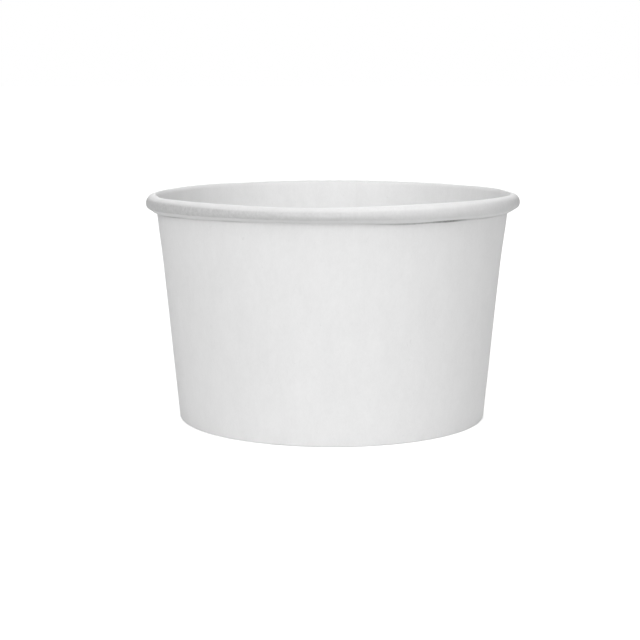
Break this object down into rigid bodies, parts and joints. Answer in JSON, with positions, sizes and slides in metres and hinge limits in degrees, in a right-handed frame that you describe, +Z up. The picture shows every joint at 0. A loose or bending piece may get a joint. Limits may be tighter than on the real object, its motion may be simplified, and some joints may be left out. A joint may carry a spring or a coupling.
{
  "type": "paper sundae cup",
  "caption": "Short tapered paperboard cup for a cold dessert, with a rolled rim, a lapped side seam and a recessed bottom held in a turned-in hem.",
  "frame": {"origin": "centre of the foot circle, in the plane that the cup stands on", "axes": "+Z up along the cup's axis, from the foot to the mouth; +Y towards the side seam at the back"},
  "size_m": [0.095, 0.095, 0.0575],
  "materials": {
    "sidewall_board": "matte white cupstock board, a little smoother on its coated food side",
    "bottom_board": "matte white cupstock board, coated on its food side"
  },
  "bodies": {
    "root": {"sidewall": "sidewall_board", "bottom_disc": "bottom_board"}
  },
  "joints": []
}
